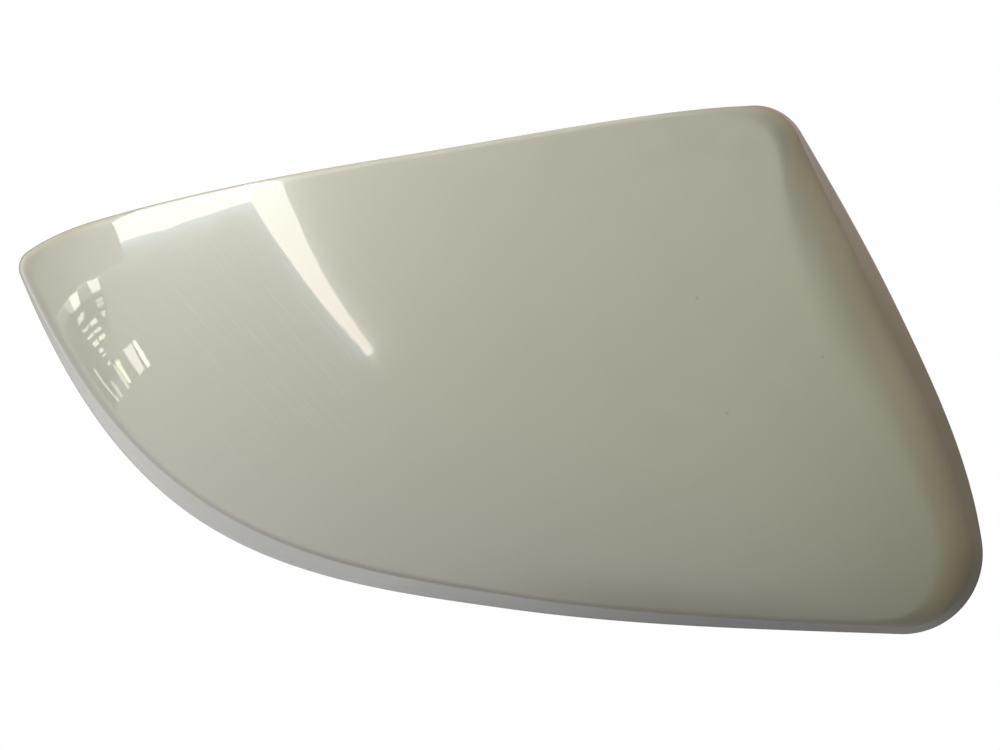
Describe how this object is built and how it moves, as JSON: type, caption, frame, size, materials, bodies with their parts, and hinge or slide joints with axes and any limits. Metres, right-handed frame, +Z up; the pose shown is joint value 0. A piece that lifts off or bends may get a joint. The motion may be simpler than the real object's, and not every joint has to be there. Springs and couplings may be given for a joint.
{
  "type": "wing mirror cover",
  "caption": "Painted clip-on cover for a door mirror: doubly curved thin shell with a turned-back flange, inner hooks and locating pegs.",
  "frame": {"origin": "middle of the main locating peg's seat, where the peg leaves its tower", "axes": "+X from the tip to the wide end, +Z up as fitted, +Y backward out of the open side, along the pegs; the face looks along -Y"},
  "size_m": [0.245, 0.0672, 0.1345],
  "materials": {
    "painted_plastic": "warm off-white pearl paint under a glossy clear coat on the outside, bare black moulding inside"
  },
  "bodies": {
    "root": {"mirror_cover": "painted_plastic"}
  },
  "joints": []
}
